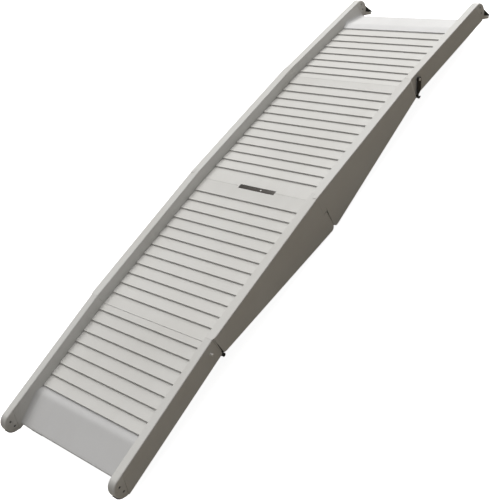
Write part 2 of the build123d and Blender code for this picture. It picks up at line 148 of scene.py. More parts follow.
# Riser profile in mm: along and up from the riser's line, then the underside's own place along it.
RISER_PROFILE = ((-1.6, -1.34, -1.6), (-0.2, -1.5, -0.6), (0.6, -1.38, 0.0),
                 (0.9, -0.9, 0.25), (0.55, 0.3, 0.5), (0.0, 0.8, 0.75),
                 (0.05, 1.2, 1.0), (0.4, 1.45, 1.3), (1.4, 1.36, 1.8))
NOSE = 3  # first point of the riser's face
TREAD_EDGE = ((0.0, 0.7), (0.25, 0.25), (0.8, 0.0))  # rounded side of a tread: in from the side, down, mm
RIB_MARKS = (-120 * MM, -60 * MM, 60 * MM, 120 * MM)  # lines over the long ribs
SHARP = radians(32)  # edges that turn more than this stay crisp


def cross_ring(along, top, below):
    """Corner points of one cross-section of a deck, anticlockwise from the lower left."""
    left = [Vector((-DECK_HALF, below, DECK_FOOT))]
    left += [Vector((-DECK_HALF + inset * MM, along, top - drop * MM)) for inset, drop in TREAD_EDGE]
    left += [Vector((x, along, top)) for x in RIB_MARKS[:2]]
    right = [Vector((-p.x, p.y, p.z)) for p in reversed(left)]
    return left + right


def skin(bm, rings, start_closed, end_closed):
    """Join equal rings of points into a tube, and close its ends where asked."""
    rows = [[bm.verts.new(p) for p in ring] for ring in rings]
    count = len(rows[0])
    for low, high in zip(rows, rows[1:]):
        for k in range(count):
            near = (k + 1) % count
            bm.faces.new((low[k], low[near], high[near], high[k]))
    if start_closed:
        bm.faces.new(rows[0][::-1])
    if end_closed:
        bm.faces.new(rows[-1])


def riser_rings(line, first=0, last=len(RISER_PROFILE)):
    """Cross-sections through one riser."""
    return [cross_ring(line + a * MM, z * MM, line + b * MM) for a, z, b in RISER_PROFILE[first:last]]


def as_object(bm, name):
    """Turn a bmesh into an object at the origin, its faces pointing outwards."""
    bmesh.ops.remove_doubles(bm, verts=bm.verts, dist=1e-6)
    bmesh.ops.recalc_face_normals(bm, faces=bm.faces)
    mesh = bpy.data.meshes.new(name)
    bm.to_mesh(mesh)
    bm.free()
    made = bpy.data.objects.new(name, mesh)
    bpy.context.scene.collection.objects.link(made)
    return made


def tread_repeat():
    """Geometry Nodes tree that lays a tread along a deck, welds it to both ends and paints the whole."""
    tree = bpy.data.node_groups.new("tread repeat", "GeometryNodeTree")
    tree.is_modifier = True
    for label, kind in (("Tread", "Object"), ("Ends", "Object"), ("First line", "Float"), ("Pitch", "Float"),
                        ("Count", "Int"), ("Weld", "Float"), ("Finish", "Material")):
        tree.interface.new_socket(name=label, in_out="INPUT", socket_type=f"NodeSocket{kind}")
    tree.interface.new_socket(name="Deck", in_out="OUTPUT", socket_type="NodeSocketGeometry")
    inputs = tree.nodes.new("NodeGroupInput").outputs
    start, step = (tree.nodes.new("ShaderNodeCombineXYZ") for _ in range(2))
    line = tree.nodes.new("GeometryNodeMeshLine")
    tread, ends = (tree.nodes.new("GeometryNodeObjectInfo") for _ in range(2))
    lay = tree.nodes.new("GeometryNodeInstanceOnPoints")
    real = tree.nodes.new("GeometryNodeRealizeInstances")
    join = tree.nodes.new("GeometryNodeJoinGeometry")
    weld = tree.nodes.new("GeometryNodeMergeByDistance")
    paint = tree.nodes.new("GeometryNodeSetMaterial")
    out = tree.nodes.new("NodeGroupOutput")
    for source, target in (
            (inputs["First line"], start.inputs["Y"]), (inputs["Pitch"], step.inputs["Y"]),
            (start.outputs[0], line.inputs["Start Location"]), (step.outputs[0], line.inputs["Offset"]),
            (inputs["Count"], line.inputs["Count"]), (inputs["Tread"], tread.inputs["Object"]),
            (inputs["Ends"], ends.inputs["Object"]), (line.outputs["Mesh"], lay.inputs["Points"]),
            (tread.outputs["Geometry"], lay.inputs["Instance"]), (lay.outputs["Instances"], join.inputs[0]),
            (ends.outputs["Geometry"], join.inputs[0]), (join.outputs[0], real.inputs[0]),
            (real.outputs[0], weld.inputs["Geometry"]), (inputs["Weld"], weld.inputs["Distance"]),
            (weld.outputs[0], paint.inputs["Geometry"]), (inputs["Finish"], paint.inputs["Material"]),
            (paint.outputs[0], out.inputs[0])):
        tree.links.new(source, target)
    return tree


def settle(tree, name, settings, spares):
    """Run a Geometry Nodes tree once, keep its result as a plain mesh, and drop the spare objects."""
    carrier = bpy.data.objects.new(name, bpy.data.meshes.new(name))
    bpy.context.scene.collection.objects.link(carrier)
    modifier = carrier.modifiers.new(tree.name, "NODES")
    modifier.node_group = tree
    for item in tree.interface.items_tree:
        if item.in_out == "INPUT" and item.name in settings:
            modifier[item.identifier] = settings[item.name]
    graph = bpy.context.evaluated_depsgraph_get()
    mesh = bpy.data.meshes.new_from_object(carrier.evaluated_get(graph))
    carrier.modifiers.clear()
    carrier.data = mesh
    for spare in spares:
        bpy.data.objects.remove(spare)
    return carrier


def smooth_by_angle(piece):
    """Smooth shading that keeps the piece's sharp edges."""
    for face in piece.data.polygons:
        face.use_smooth = True
    piece.data.set_sharp_from_angle(angle=SHARP)


def fit(piece, place, body, slot, *nodes, finish=None):
    """Set a finished piece in its section's frame, on its body and in the stead of its CAD nodes."""
    piece.data.transform(place)
    if finish is not None:
        piece.data.materials.clear()
        piece.data.materials.append(finish)
    smooth_by_angle(piece)
    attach(piece, body)
    if nodes:
        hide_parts(*nodes)


def cut(piece, tool):
    """Take the tool's solid out of a piece and drop the tool."""
    knife = piece.modifiers.new("cut", "BOOLEAN")
    knife.operation = "DIFFERENCE"
    knife.solver = "EXACT"
    knife.object = tool
    graph = bpy.context.evaluated_depsgraph_get()
    mesh = bpy.data.meshes.new_from_object(piece.evaluated_get(graph))
    piece.modifiers.clear()
    piece.data = mesh
    bpy.data.objects.remove(tool)


def box(name, low, high):
    """Plain box between two corners, used as a cutter or a start for a shaped piece."""
    bm = bmesh.new()
    size = Vector(high) - Vector(low)
    middle = (Vector(high) + Vector(low)) / 2
    bmesh.ops.create_cube(bm, size=1, matrix=Matrix.Translation(middle) @ Matrix.Diagonal((*size, 1)))
    return as_object(bm, name)


# Each deck: way, end, first riser, count of risers, then the seams at its low and high side with the deck's
# rise there, or None where a smooth plate carries on.
DECKS = {
    "lower_deck": (-1, True, -232.5 * MM, 8, None, (-SEAM_HALF, -0.1 * MM)),
    "lower_mid_deck": (-1, False, -378.5 * MM, 12,
                       (-MID_LENGTH + SEAM_HALF, 0.45 * MM), (-SEAM_HALF, 0.08 * MM)),
    "upper_mid_deck": (1, False, 46.2 * MM, 12,
                       (SEAM_HALF, 0.08 * MM), (MID_LENGTH - SEAM_HALF, 0.2 * MM)),
    "upper_deck": (1, True, 22.7 * MM, 8, (SEAM_HALF, 0.15 * MM), None)}
WELD = 0.02 * MM
SLOT_HALF = 57.5 * MM  # half the length of the slot across the crest
SLOT_WIDE = 6.6 * MM  # reach of the slot to each side of the crest
SLOT_DEEP = 20 * MM


def seam_rings(place, rise, inwards):
    """Two cross-sections that round a deck's edge at a seam, from the seam inwards."""
    inner = place + inwards * SEAM_EDGE
    return [cross_ring(place, rise - SEAM_EDGE, place), cross_ring(inner, rise, inner)]


treads_tree = tread_repeat()
bm = bmesh.new()
skin(bm, [cross_ring(-PITCH / 2, 0, -PITCH / 2), *riser_rings(0), cross_ring(PITCH / 2, 0, PITCH / 2)],
     False, False)
tread = as_object(bm, "tread")
for name, (way, end, first, count, low_seam, high_seam) in DECKS.items():
    lines = [first + PITCH * k for k in range(count)]
    bm = bmesh.new()
    rings = riser_rings(lines[0], NOSE)
    if low_seam is not None:
        rings = [*seam_rings(*low_seam, 1), *riser_rings(lines[0])]
    middle = lines[0] + PITCH / 2
    skin(bm, [*rings, cross_ring(middle, 0, middle)], True, False)
    rings = riser_rings(lines[-1], 0, NOSE)
    if high_seam is not None:
        rings = [*riser_rings(lines[-1]), *reversed(seam_rings(*high_seam, -1))]
    middle = lines[-1] - PITCH / 2
    skin(bm, [cross_ring(middle, 0, middle), *rings], False, True)
    ends = as_object(bm, "deck ends")
    deck = settle(treads_tree, f"treads_{name}", {
        "Tread": tread, "Ends": ends, "First line": lines[1], "Pitch": PITCH, "Count": count - 2,
        "Weld": WELD, "Finish": tread_plastic}, [ends])
    if not end:
        cut(deck, box("slot", (-SLOT_HALF, -SLOT_WIDE, -SLOT_DEEP), (SLOT_HALF, SLOT_WIDE, SLOT_DEEP)))
    fit(deck, section_frame(way, end), BODY[way, end], "tread_plastic", name)
bpy.data.objects.remove(tread)

# ---- Smooth end plates ----
# Beyond the last riser each end has a smooth moulded plate, bent down so that paws step on and off easily.
# Its sides sweep up into the rails in a fillet.
# Each plate: name, height of its flat top, then its start, bend and edge from the outer joint, and its fall.
PLATES = {-1: ("ground_plate", -1.5 * MM, 231.8 * MM, 250 * MM, 327 * MM, 0.245),
          1: ("top_plate", 1.5 * MM, 237.4 * MM, 262 * MM, 329 * MM, 0.26)}
PLATE_THICK = 3 * MM
PLATE_EDGE = ((2.2, 0.0), (1.2, 0.15), (0.4, 0.6), (0.0, 1.4))  # rounded far edge: back from it, down, mm
PLATE_STEPS = 26
SIDE_FILLET = 9 * MM
FILLET_STEPS = 8
FILLET_GROWS = 22 * MM  # length over which the fillets rise
BEND_LENGTH = 12 * MM
plate_plastic = moulded_plastic("plate plastic", (0.70, 0.70, 0.70), (0.44, 0.42, 0.40), 0.08, 0.45)


def fade(value, start, end):
    """Smooth step from 0 at start to 1 at end."""
    share = min(max((value - start) / (end - start), 0), 1)
    return share * share * (3 - 2 * share)


def plate_height(way, t):
    """Height of a plate's top, at t from the outer joint, with its bend eased over a short length."""
    _, top, _, bend, _, fall = PLATES[way]
    past = t - bend + BEND_LENGTH / 2
    if past <= 0:
        return top
    if past < BEND_LENGTH:
        return top - fall * past * past / (2 * BEND_LENGTH)
    return top - fall * (t - bend)


def plate_ring(way, t, drop=0.0):
    """Cross-section of a plate with its two side fillets; drop rounds the far edge."""
    start = PLATES[way][2]
    grown = fade(t, start, start + FILLET_GROWS)
    height = plate_height(way, t) - drop
    points = [Vector((-DECK_HALF, way * t, height - PLATE_THICK + drop * 0.6))]
    for k in range(FILLET_STEPS + 1):
        angle = pi / 2 * (1 - k / FILLET_STEPS)
        x = -DECK_HALF + SIDE_FILLET * (1 - sin(angle))
        points.append(Vector((x, way * t, height + grown * SIDE_FILLET * (1 - cos(angle)))))
    points += [Vector((x, way * t, height)) for x in RIB_MARKS[:2]]
    return points + [Vector((-p.x, p.y, p.z)) for p in reversed(points)]


for way, (name, _, start, _, edge, _) in PLATES.items():
    span = edge - PLATE_EDGE[0][0] * MM - start
    rings = [plate_ring(way, start + span * k / PLATE_STEPS) for k in range(PLATE_STEPS + 1)]
    rings += [plate_ring(way, edge - back * MM, drop * MM) for back, drop in PLATE_EDGE[1:]]
    bm = bmesh.new()
    skin(bm, rings, True, True)
    plate = as_object(bm, f"smooth_{name}")
    fit(plate, section_frame(way, True), BODY[way, True], "plate_plastic" if way < 0 else "tread_plastic",
        name, finish=plate_plastic)

# ---- Side rails ----
# Channel mouldings of pale plastic, open below, with rounded top edges.  The middle sections' outer
# walls run on down as skirts that the end sections fold up into.  Their shapes are the frame's own.
rail_plastic = moulded_plastic("rail plastic", (0.68, 0.675, 0.655), (0.40, 0.35, 0.28), 0.12, 0.45)


def refinish(material, *names):
    """Give frame nodes that keep their own shape a finished material."""
    for name in names:
        node = frame["nodes"][name]
        for spot in node.material_slots:
            spot.material = material


for rail in ("lower_rail", "lower_mid_rail", "upper_mid_rail", "upper_rail"):
    refinish(rail_plastic, f"{rail}_left", f"{rail}_right")

# ---- Ribs under the decks ----
# Tapered webs moulded with each deck stiffen it from below: cross ribs at an even pitch, joined by five long
# ones.  They stay clear of where the folded feet come to lie.
RIB_DEEP = -20 * MM
RIB_HALF = 173.6 * MM
RIB_THICK = 2.6 * MM
RIB_TAPER = 0.7
CROSS_RIB_TOP = DECK_FOOT - 3.2 * MM
RIB_WELD = 0.001 * MM
# Each ladder of ribs: way and end, its first cross rib from the joint or crest, pitch and count.
RIBS = {"lower_ribs": (-1, True, 30 * MM, 49 * MM, 5), "lower_mid_ribs": (-1, False, 24 * MM, 50 * MM, 8),
        "upper_mid_ribs": (1, False, 24 * MM, 50 * MM, 8), "upper_ribs": (1, True, 30 * MM, 49 * MM, 5)}


def web(name, low, high):
    """One rib, thinner at its lower edge."""
    rib = box(name, low, high)
    across = 1 if high[1] - low[1] < high[0] - low[0] else 0
    middle = (low[across] + high[across]) / 2
    for vert in rib.data.vertices:
        if vert.co.z < RIB_DEEP + 1 * MM:
            vert.co[across] = middle + (vert.co[across] - middle) * RIB_TAPER
    return rib


for name, (way, end, first, pitch, count) in RIBS.items():
    last = first + pitch * (count - 1) + RIB_THICK
    cross = web("cross rib", (-RIB_HALF, 0, RIB_DEEP), (RIB_HALF, RIB_THICK, CROSS_RIB_TOP))
    ladder = bmesh.new()
    for x in (*RIB_MARKS, 0):
        spine = web("spine", (x - RIB_THICK / 2, way * first, RIB_DEEP),
                    (x + RIB_THICK / 2, way * last, DECK_FOOT))
        ladder.from_mesh(spine.data)
        bpy.data.objects.remove(spine)
    spines = as_object(ladder, "spines")
    ribs = settle(treads_tree, f"webs_{name}", {
        "Tread": cross, "Ends": spines, "First line": min(way * first, way * (last - RIB_THICK)),
        "Pitch": pitch, "Count": count, "Weld": RIB_WELD, "Finish": rail_plastic}, [cross, spines])
    fit(ribs, section_frame(way, end), BODY[way, end], "grey_plastic", name)

# ---- Outer hinges ----
# Black glass-filled nylon tongues and forks, fixed up inside the rail channels, turn on plated steel pins
# below the rails, so that the rails' top edges meet and carry the load when the ramp is open.


def steel(name, colour, rough, shine):
    """Metal with fine drawn lines and a cloudy plated tone."""
    material = bpy.data.materials.new(name)
    material.use_nodes = True
    body = material.node_tree.nodes["Principled BSDF"]
    body.inputs["Metallic"].default_value = shine
    tone = ramp(material, speckle(material, 160, detail=4), 0.35, 0.7, 0, 0.5)
    wire(material, stain(material, tone, colour, tuple(0.6 * c for c in colour)), body.inputs["Base Color"])
    drawn = speckle(material, 900, (0.05, 1, 1), 3)
    wire(material, ramp(material, drawn, 0.3, 0.7, rough - 0.08, rough + 0.12), body.inputs["Roughness"])
    scratches = speckle(material, 2500, (0.04, 1, 1), 2)
    wire(material, relief(material, scratches, 0.00002), body.inputs["Normal"])
    return material


def black_moulding(name, colour, rough, worn, grain):
    """Black nylon or rubber, greyed where it is rubbed."""
    material = bpy.data.materials.new(name)
    material.use_nodes = True
    body = material.node_tree.nodes["Principled BSDF"]
    body.inputs["Specular IOR Level"].default_value = 0.4
    rubbed = ramp(material, speckle(material, 120, detail=5), 0.5, 0.75, 0, 0.5)
    wire(material, stain(material, rubbed, colour, worn), body.inputs["Base Color"])
    wire(material, ramp(material, speckle(material, 300, detail=3), 0.3, 0.7, rough - 0.08, rough + 0.1),
         body.inputs["Roughness"])
    wire(material, relief(material, speckle(material, 2200, detail=2), grain), body.inputs["Normal"])
    return material


black_nylon = black_moulding("black nylon", (0.018, 0.018, 0.017), 0.4, (0.05, 0.048, 0.045), 0.00003)
bright_steel = steel("bright steel", (0.92, 0.91, 0.89), 0.35, 0.25)
for half in ("lower", "upper"):
    for side in ("left", "right"):
        refinish(black_nylon, f"{half}_hinge_tongue_{side}", f"{half}_hinge_fork_{side}")
        refinish(bright_steel, f"{half}_hinge_pin_{side}")

# ---- Centre hinge ----
# Two moulded cross walls stand under the crest of the ramp.  Their knuckles interleave on one long steel
# rod, and the upper wall has a hole for the hand that lifts the folded ramp.
refinish(rail_plastic, "lower_hinge_frame", "upper_hinge_frame")
refinish(bright_steel, "centre_hinge_rod")

# ---- Pin covers ----
# Low black nylon buttons, pressed in from outside, close the middle sections' skirts where the outer hinge
# pins lie behind them.  Each is a turned cap with a rounded rim.  No CAD piece stands for them.
PIN_HEIGHT = -25 * MM
COVER_PROFILE = ((197.9, 4.0), (203.4, 4.0), (203.9, 4.6), (204.2, 4.2), (204.3, 3.0))  # across, radius, mm


def in_metres(profile):
    """Pairs given in mm, as metres."""
    return [(along * MM, radius * MM) for along, radius in profile]


def turned(name, profile, middle, sides=32):
    """Solid turned about an X axis through middle; profile lists places along X and radii."""
    bm = bmesh.new()
    rings = []
    for x, radius in profile:
        spokes = [2 * pi * k / sides for k in range(sides)]
        rings.append([Vector((x, middle[0] + radius * cos(a), middle[1] + radius * sin(a))) for a in spokes])
    skin(bm, rings, True, True)
    return as_object(bm, name)


for way, half in ((-1, "lower"), (1, "upper")):
    for side, name in ((-1, "left"), (1, "right")):
        profile = in_metres((side * across, radius) for across, radius in COVER_PROFILE)
        cover = turned(f"{half}_pin_cover_{name}", profile, (way * MID_LENGTH, PIN_HEIGHT))
        fit(cover, section_frame(way, False), BODY[way, False], "black_nylon", finish=black_nylon)

# ---- Carry bar in the centre slot ----
# A dark satin metal bar lies in the slot between the middle decks, held to the upper one by two clips below
# it.  A bright stud with a domed head is set in its top, right of the middle.
GRIP_LOW = (-56.8 * MM, -6 * MM, -6.4 * MM)
GRIP_HIGH = (56.8 * MM, 6 * MM, -1.2 * MM)
GRIP_ROUND = 0.9 * MM
CLIP_AT = (-40 * MM, 40 * MM)
CLIP_HALF = 8 * MM
CLIP_REACH = 10 * MM  # from the crest towards the upper deck
CLIP_HEIGHT = (-8 * MM, -4.8 * MM)
CLIP_ROUND = 0.6 * MM
STUD_AT = 12.6 * MM
STUD_PROFILE = ((-1.5, 2.2), (-0.8, 2.2), (-0.5, 1.9), (-0.4, 1.0))  # up, radius, mm


def rounded_block(name, low, high, radius):
    """Box with every edge rounded."""
    bm = bmesh.new()
    size = Vector(high) - Vector(low)
    middle = (Vector(high) + Vector(low)) / 2
    bmesh.ops.create_cube(bm, size=1, matrix=Matrix.Translation(middle) @ Matrix.Diagonal((*size, 1)))
    bmesh.ops.bevel(bm, geom=bm.edges[:], offset=radius, segments=3, profile=0.5, affect="EDGES")
    return as_object(bm, name)


def merge(name, *pieces):
    """Join several closed solids into one object."""
    bm = bmesh.new()
    for piece in pieces:
        bm.from_mesh(piece.data)
        bpy.data.objects.remove(piece)
    mesh = bpy.data.meshes.new(name)
    bm.to_mesh(mesh)
    bm.free()
    made = bpy.data.objects.new(name, mesh)
    bpy.context.scene.collection.objects.link(made)
    return made


dark_bar = steel("dark bar", (0.06, 0.052, 0.045), 0.55, 0.2)
clips = [rounded_block("clip", (x - CLIP_HALF, 0, CLIP_HEIGHT[0]),
                       (x + CLIP_HALF, CLIP_REACH, CLIP_HEIGHT[1]), CLIP_ROUND) for x in CLIP_AT]
grip = rounded_block("grip", GRIP_LOW, GRIP_HIGH, GRIP_ROUND)
bar = merge("slot_carry_bar", grip, *clips)
fit(bar, section_frame(1, False), BODY[1, False], "dark_bar", "carry_bar", finish=dark_bar)
stud = turned("slot_stud", in_metres(STUD_PROFILE), (0, 0))
stud.data.transform(Matrix.Rotation(radians(-90), 4, "Y"))
stud.data.transform(Matrix.Translation((STUD_AT, 0, 0)))
fit(stud, section_frame(1, False), BODY[1, False], "bright_steel", "carry_bar_stud", finish=bright_steel)

# ---- Rail end caps ----
# Moulded caps close the rails with a half-round end.  A plug on each slides into the channel, and two dark
# bolts through the cap, sunk below both faces, hold it.
END_LENGTH = 333 * MM
CAP_RADIUS = 25.1 * MM
CAP_MIDDLE = 3.1 * MM
RAIL_IN = 180 * MM
RAIL_OUT = 201.2 * MM
RAIL_TOP = 28.2 * MM
CAP_SEAM_TOP = 317.15 * MM  # top of the leaning seam between rail and cap
CAP_FOOT_TURN = -90 + 13.5  # where the cap's round meets the seam's foot, degrees
CAP_STEPS = 30
CAP_ROUND = 3 * MM
PLUG_REACH = (306 * MM, 325 * MM)
PLUG_FOOT = -10 * MM
PLUG_INSET = 3.2 * MM  # from the rail's outer faces
PLUG_ROUND = 0.8 * MM
BOLT_HOLE = 2.7 * MM
BOLT_SUNK = 2.2 * MM  # below the rail's faces
BOLT_HEAD = ((0, 1.2), (0.3, 2.1), (1.6, 2.2), (1.7, 1.5))  # in from its end, radius, mm
# Bolts' places along the section and up, for each way.
BOLTS = {-1: ((339.5 * MM, 12.6 * MM), (340.0 * MM, -4.4 * MM)),
         1: ((340.5 * MM, 14.6 * MM), (341.2 * MM, -1.1 * MM))}
dark_steel = steel("dark steel", (0.012, 0.012, 0.012), 0.6, 0.3)


def cap_ring(x, way, inset):
    """Side outline of a cap, shrunk by inset, at one place across it."""
    radius = CAP_RADIUS - inset
    points = [(CAP_SEAM_TOP + 0.5 * inset, RAIL_TOP - inset), (END_LENGTH, RAIL_TOP - inset)]
    turns = [radians(90 - (90 - CAP_FOOT_TURN) * k / CAP_STEPS) for k in range(1, CAP_STEPS + 1)]
    points += [(END_LENGTH + radius * cos(turn), CAP_MIDDLE + radius * sin(turn)) for turn in turns]
    return [Vector((x, way * t, z)) for t, z in points]


def end_cap(name, side, way):
    """One cap with rounded rims, its plug and its bolt holes."""
    turns = [radians(22.5 * k) for k in range(5)]
    layers = [(RAIL_IN + CAP_ROUND * (1 - cos(a)), CAP_ROUND * (1 - sin(a))) for a in turns]
    layers += [(RAIL_OUT - CAP_ROUND * (1 - cos(a)), CAP_ROUND * (1 - sin(a))) for a in reversed(turns)]
    bm = bmesh.new()
    skin(bm, [cap_ring(side * x, way, inset) for x, inset in layers], True, True)
    cap = as_object(bm, name)
    for t, z in BOLTS[way]:
        ends = [(side * (RAIL_IN - 2 * MM), BOLT_HOLE), (side * (RAIL_OUT + 2 * MM), BOLT_HOLE)]
        cut(cap, turned("bolt hole", ends, (way * t, z), 24))
    reach = sorted(way * t for t in PLUG_REACH)
    across = sorted((side * (RAIL_IN + PLUG_INSET), side * (RAIL_OUT - PLUG_INSET)))
    plug = rounded_block("plug", (across[0], reach[0], PLUG_FOOT),
                         (across[1], reach[1], RAIL_TOP - PLUG_INSET), PLUG_ROUND)
    return merge(name, cap, plug)


def bolt():
    """Through bolt with a recessed cross head at both faces of the rail, its middle at the origin."""
    half = (RAIL_OUT - RAIL_IN) / 2 - BOLT_SUNK
    profile = [(-half + inset * MM, radius * MM) for inset, radius in BOLT_HEAD]
    profile += [(-x, radius) for x, radius in reversed(profile)]
    shank = turned("bolt", profile, (0, 0), 20)
    for end in (-1, 1):
        for wide, tall in ((0.35, 1.5), (1.5, 0.35)):
            low = sorted((end * (half - 0.7 * MM), end * (half + 1 * MM)))
            cut(shank, box("cross", (low[0], -wide * MM, -tall * MM), (low[1], wide * MM, tall * MM)))
    return shank


def bolt_repeat():
    """Geometry Nodes tree that sets one bolt on every point of a mesh."""
    tree = bpy.data.node_groups.new("bolt repeat", "GeometryNodeTree")
    tree.is_modifier = True
    for label, kind in (("Bolt", "Object"), ("Places", "Object"), ("Size", "Float"), ("Finish", "Material")):
        tree.interface.new_socket(name=label, in_out="INPUT", socket_type=f"NodeSocket{kind}")
    tree.interface.new_socket(name="Bolts", in_out="OUTPUT", socket_type="NodeSocketGeometry")
    inputs = tree.nodes.new("NodeGroupInput").outputs
    one, places = (tree.nodes.new("GeometryNodeObjectInfo") for _ in range(2))
    points = tree.nodes.new("GeometryNodeMeshToPoints")
    lay = tree.nodes.new("GeometryNodeInstanceOnPoints")
    real = tree.nodes.new("GeometryNodeRealizeInstances")
    paint = tree.nodes.new("GeometryNodeSetMaterial")
    out = tree.nodes.new("NodeGroupOutput")
    for source, target in (
            (inputs["Bolt"], one.inputs["Object"]), (inputs["Places"], places.inputs["Object"]),
            (places.outputs["Geometry"], points.inputs["Mesh"]), (points.outputs[0], lay.inputs["Points"]),
            (one.outputs["Geometry"], lay.inputs["Instance"]), (inputs["Size"], lay.inputs["Scale"]),
            (lay.outputs["Instances"], real.inputs[0]), (real.outputs[0], paint.inputs["Geometry"]),
            (inputs["Finish"], paint.inputs["Material"]), (paint.outputs[0], out.inputs[0])):
        tree.links.new(source, target)
    return tree


bolts_tree = bolt_repeat()
one_bolt = bolt()
rail_middle = (RAIL_IN + RAIL_OUT) / 2
for way, bolts_name in ((-1, "ground_cap_screws"), (1, "grip_cap_screws")):
    bm = bmesh.new()
    for side in (-1, 1):
        for t, z in BOLTS[way]:
            bm.verts.new((side * rail_middle, way * t, z))
    places = as_object(bm, "bolt places")
    bolts = settle(bolts_tree, f"cap_bolts_{bolts_name}", {
        "Bolt": one_bolt, "Places": places, "Size": 1.0, "Finish": dark_steel}, [places])
    fit(bolts, section_frame(way, True), BODY[way, True], "dark_steel", bolts_name)
bpy.data.objects.remove(one_bolt)

# ---- Ground end: caps, bumpers and feet ----
# Under each lower cap sits a black rubber bumper with two raised pads.  Grooved rubber feet under both end
# plates stand level on the floor when the ramp lies flat.
black_rubber = black_moulding("black rubber", (0.022, 0.022, 0.022), 0.72, (0.06, 0.058, 0.055), 0.00008)
BUMPER_X = (184 * MM, 198 * MM)
# Bumper outline: degrees round the cap's middle from the front, and height over the cap's round in mm.
BUMPER_PADS = ((-9, 0.5), (-11, 2.1), (-50, 2.1), (-53, 0.9),
               (-80, 0.9), (-83, 2.1), (-97, 2.1), (-99, 0.5))
BUMPER_GAP = 0.1 * MM
BUMPER_EDGE = 0.7 * MM
FOOT_T = (312 * MM, 326 * MM)
FOOT_X = (130 * MM, 168 * MM)
FOOT_GROOVES = 6
FOOT_EDGE = 0.8 * MM
# Each rib of the sole: in from its ends and up from the floor, mm.
SOLE_RIB = ((0.5, 1.6), (1.1, 0))


def bumper(side):
    """Rubber strip round the lower front of a cap, with its two raised pads."""
    turns = []
    for (from_turn, from_high), (to_turn, to_high) in zip(BUMPER_PADS, BUMPER_PADS[1:]):
        steps = max(1, round(abs(to_turn - from_turn) / 4))
        turns += [(from_turn + (to_turn - from_turn) * k / steps,
                   from_high + (to_high - from_high) * k / steps) for k in range(steps)]
    turns.append(BUMPER_PADS[-1])
    bm = bmesh.new()
    rings = []
    for turn, high in turns:
        arm = Vector((0, -cos(radians(turn)), sin(radians(turn))))
        middle = Vector((0, -END_LENGTH, CAP_MIDDLE))
        low, top = CAP_RADIUS + BUMPER_GAP, CAP_RADIUS + high * MM
        near, far = BUMPER_X
        edge = min(BUMPER_EDGE, (top - low) * 0.6)
        rings.append([middle + arm * r + Vector((side * x, 0, 0)) for x, r in (
            (near, low), (near, top - edge), (near + edge, top),
            (far - edge, top), (far, top - edge), (far, low))])
    skin(bm, rings, True, True)
    return as_object(bm, "bumper")


def floor_at(way, t):
    """Height in an end section's frame at which t from the joint meets the floor."""
    place = section_frame(way, True)
    level = (place @ Vector((0, way * t, 0))).z
    return -level / cos(END_LEAN)


def foot(name, side, way):
    """Rubber foot: a tapered block whose sole is cut level with the floor and grooved."""
    bm = bmesh.new()
    x0, x1 = FOOT_X
    outline = []
    for k in range(FOOT_GROOVES):
        start = x0 + (x1 - x0) * k / FOOT_GROOVES
        stop = x0 + (x1 - x0) * (k + 1) / FOOT_GROOVES
        outline += [(start + inset * MM, lift * MM) for inset, lift in SOLE_RIB]
        outline += [(stop - inset * MM, lift * MM) for inset, lift in reversed(SOLE_RIB)]
    rings = []
    for t in (FOOT_T[0], FOOT_T[0] + FOOT_EDGE, FOOT_T[1] - FOOT_EDGE, FOOT_T[1]):
        pinch = FOOT_EDGE if t in FOOT_T else 0
        sole = floor_at(way, t)
        top = plate_height(way, t) - PLATE_THICK
        ring = [Vector((side * x, way * t, sole + lift + pinch)) for x, lift in outline]
        ring += [Vector((side * x1, way * t, top)), Vector((side * x0, way * t, top))]
        rings.append(ring)
    skin(bm, rings, True, True)
    return as_object(bm, name)


for side, name in ((-1, "left"), (1, "right")):
    place, body = section_frame(-1, True), BODY[-1, True]
    fit(end_cap(f"round_ground_cap_{name}", side, -1), place, body, "grey_plastic", f"ground_cap_{name}",
        finish=rail_plastic)
    strip = bumper(side)
    strip.name = f"padded_bumper_{name}"
    fit(strip, place, body, "black_rubber", f"ground_bumper_{name}", finish=black_rubber)
    fit(foot(f"grooved_ground_foot_{name}", side, -1), place, body, "black_rubber", f"ground_foot_{name}",
        finish=black_rubber)
    fit(foot(f"grooved_rest_foot_{name}", side, 1), section_frame(1, True), BODY[1, True], "black_rubber",
        f"rest_foot_{name}", finish=black_rubber)

# ---- Grip end: caps, arms and grip pads ----
# Each upper cap carries a plastic arm that slants down beyond the rail, faced in front with a black rubber
# wedge that bites on the edge of a tailgate or seat.  Seven fine grooves run across the wedge's face.
# Side outlines in mm, along the section and up.
ARM_LINE = ((340, -18), (351.6, -14.6), (378.4, -34.0), (373.6, -37.3), (344, -23.4), (337, -21.3))
ARM_X = (184 * MM, 197.4 * MM)
ARM_ROUND = 0.8 * MM
PAD_BACK = (-43, -36, -28, -20, -12, -5)  # the wedge's back follows the cap's round, degrees
PAD_GAP = 0.15  # between the cap's round and the wedge, mm
PAD_FACE = ((358.7, 0.3), (380.3, -31.2), (380.3, -31.9), (378.8, -33.4))  # its face, down to its foot
PAD_X = (183.5 * MM, 198.2 * MM)
PAD_ROUND = 0.5 * MM
PAD_GROOVES = 7
GROOVE_X = (182 * MM, 199 * MM)
GROOVE_RADIUS = 0.55 * MM


def arc(along, up, radius, turns):
    """Points in mm on an arc about a middle, at a row of angles in degrees."""
    return [(along + radius * cos(radians(a)), up + radius * sin(radians(a))) for a in turns]


def slab(name, line, side, across, edge):
    """Side outline in mm, run across X and given rounded edges."""
    bm = bmesh.new()
    rings = [[Vector((side * x, t * MM, z * MM)) for t, z in line] for x in across]
    skin(bm, rings, True, True)
    bmesh.ops.recalc_face_normals(bm, faces=bm.faces)
    bmesh.ops.bevel(bm, geom=bm.edges[:], offset=edge, segments=2, profile=0.5, affect="EDGES",
                    clamp_overlap=True)
    return as_object(bm, name)


